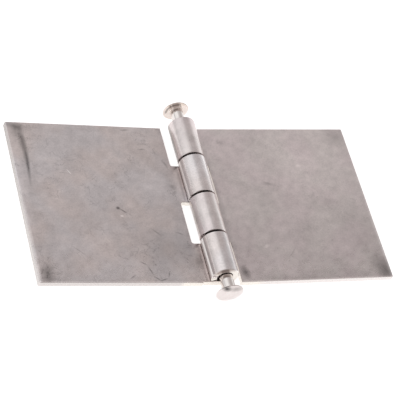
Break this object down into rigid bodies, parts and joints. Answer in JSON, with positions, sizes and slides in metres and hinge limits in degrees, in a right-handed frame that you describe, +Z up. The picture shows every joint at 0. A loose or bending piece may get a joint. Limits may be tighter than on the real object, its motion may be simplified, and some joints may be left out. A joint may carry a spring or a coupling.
{
  "type": "butt hinge",
  "caption": "Plain undrilled steel butt hinge: two flat rolled sheet leaves that turn on a loose pin with a domed head at each end.",
  "frame": {"origin": "on the surface that the hinge lies on, straight under the middle of the barrel", "axes": "+X crosses the leaves from the left leaf to the right leaf, +Y runs along the pin to its far end, +Z is up, on the barrel side"},
  "size_m": [0.1181, 0.0731, 0.0088],
  "materials": {
    "leaf_steel": "stainless sheet with its mill finish, lightly scuffed",
    "pin_steel": "bright drawn stainless rod"
  },
  "bodies": {
    "left_leaf": {"left_leaf": "leaf_steel"},
    "right_leaf": {"right_leaf": "leaf_steel"},
    "pin": {"hinge_pin": "pin_steel"}
  },
  "joints": [
    {"name": "right_leaf_swing", "type": "hinge", "parent": "left_leaf", "child": "right_leaf", "pos_m": [0, 0, 0.0044], "axis": [0, -1, 0], "range_deg": [-111.5, 180.5]},
    {"name": "pin_slide", "type": "slide", "parent": "left_leaf", "child": "pin", "axis": [-0.008, 1, 0], "range_m": [-0.0057, 0.00535]}
  ]
}
